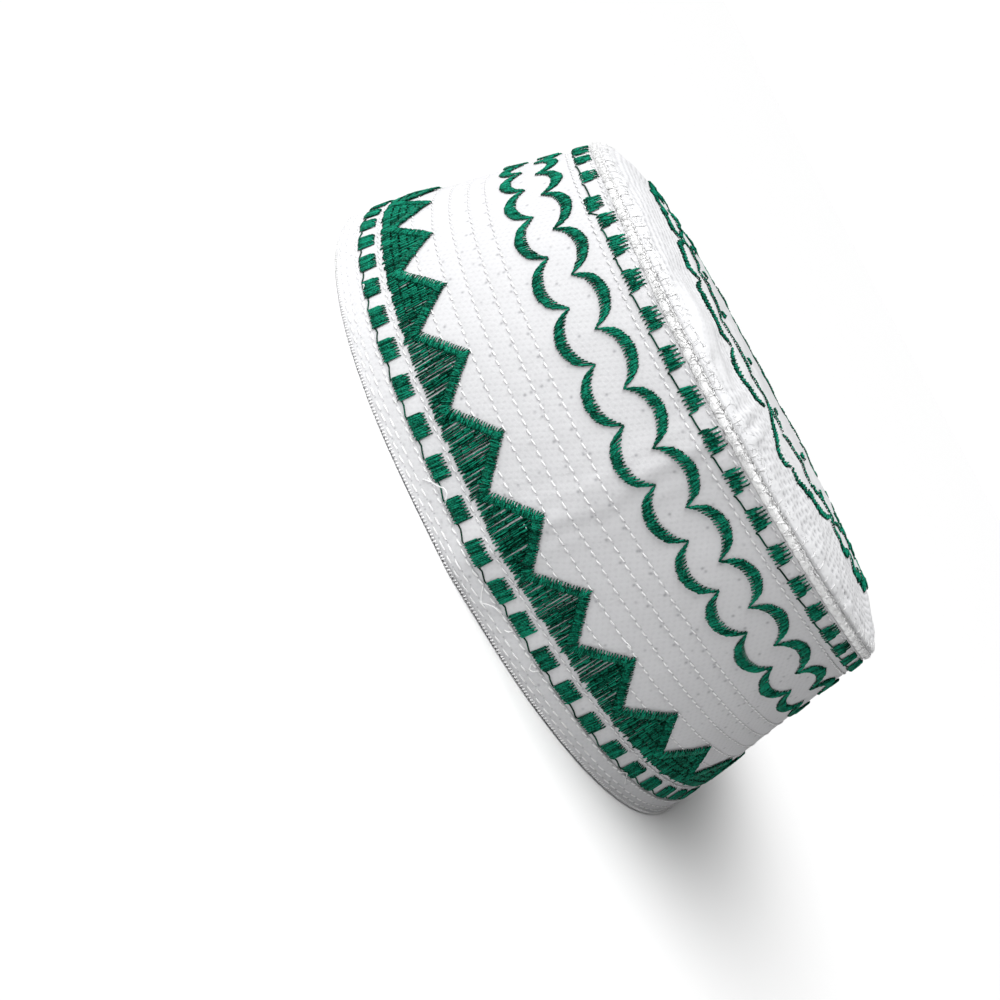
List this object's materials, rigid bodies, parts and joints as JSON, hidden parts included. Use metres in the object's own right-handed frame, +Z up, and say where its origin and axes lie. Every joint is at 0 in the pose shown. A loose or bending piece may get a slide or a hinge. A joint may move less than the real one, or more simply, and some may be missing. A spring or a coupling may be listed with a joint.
{
  "type": "prayer cap",
  "caption": "Soft brimless prayer cap of quilted white cloth with green embroidery: a round side band on a folded hem, an overcast crown seam and a low puffed crown.",
  "frame": {"origin": "on the surface that the hem stands on, under the middle of the cap's bounding box", "axes": "+Z up through the crown, -Y towards the front crease, +X towards the wearer's left"},
  "size_m": [0.192, 0.1953, 0.0839],
  "materials": {
    "hem_cloth": "matt white cotton cloth",
    "band_cloth": "matt white quilted cotton cloth",
    "crown_cloth": "matt white quilted cotton cloth",
    "white_thread": "matt white cotton thread",
    "green_thread": "green embroidery thread with a soft sheen"
  },
  "bodies": {
    "root": {"hem_strip": "hem_cloth", "side_band": "band_cloth", "crown_seam": "white_thread", "crown_top": "crown_cloth"}
  },
  "joints": []
}
